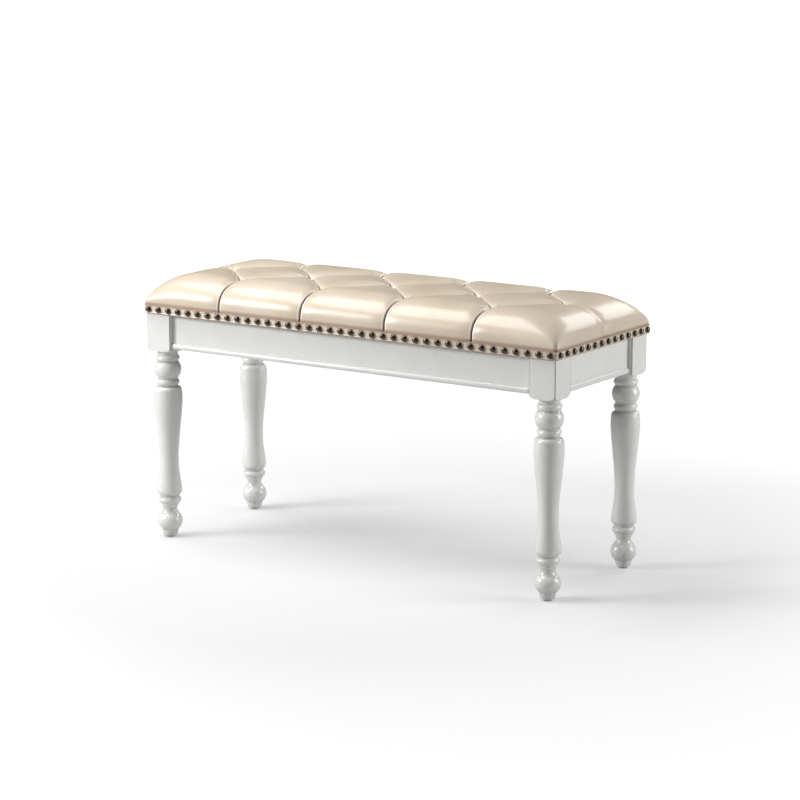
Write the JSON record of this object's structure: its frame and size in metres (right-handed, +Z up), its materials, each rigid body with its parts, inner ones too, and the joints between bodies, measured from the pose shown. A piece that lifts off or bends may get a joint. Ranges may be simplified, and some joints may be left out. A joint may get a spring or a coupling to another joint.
{
  "type": "upholstered bench",
  "caption": "Rectangular bench with a diamond tufted pearl leather seat, a row of dome nails round its edge and a white frame on turned legs.",
  "frame": {"origin": "on the floor, under the middle of the bench", "axes": "+X along the bench to the right as seen from the front, +Y from the front to the back, +Z up"},
  "size_m": [0.8, 0.3, 0.45],
  "materials": {
    "pearl_leather": "satin",
    "painted_wood": "satin",
    "antique_nail": "satin",
    "raw_wood": "matte",
    "plywood": "matte",
    "foam": "matte",
    "twine": "matte",
    "washer_fibre": "matte",
    "dust_cloth": "matte",
    "zinc_steel": "satin",
    "glide_plastic": "matte"
  },
  "bodies": {
    "root": {"front_left_leg": "painted_wood", "front_left_corner_block": "raw_wood", "front_right_leg": "painted_wood", "front_right_corner_block": "raw_wood", "back_left_leg": "painted_wood", "back_left_corner_block": "raw_wood", "back_right_leg": "painted_wood", "back_right_corner_block": "raw_wood", "front_apron": "painted_wood", "front_bead": "painted_wood", "front_nails": "antique_nail", "back_apron": "painted_wood", "back_bead": "painted_wood", "back_nails": "antique_nail", "left_apron": "painted_wood", "left_bead": "painted_wood", "left_nails": "antique_nail", "right_apron": "painted_wood", "right_bead": "painted_wood", "right_nails": "antique_nail", "hanger_bolts": "zinc_steel", "bolt_washers": "zinc_steel", "bolt_nuts": "zinc_steel", "corner_block_screws": "zinc_steel", "seat_screws": "zinc_steel", "floor_glides": "glide_plastic", "leather_cover": "pearl_leather", "leather_band": "pearl_leather", "foam_pad": "foam", "seat_board": "plywood", "tuft_ties": "twine", "tuft_washers": "washer_fibre", "dust_cover": "dust_cloth", "dust_cover_staples": "zinc_steel"}
  },
  "joints": []
}
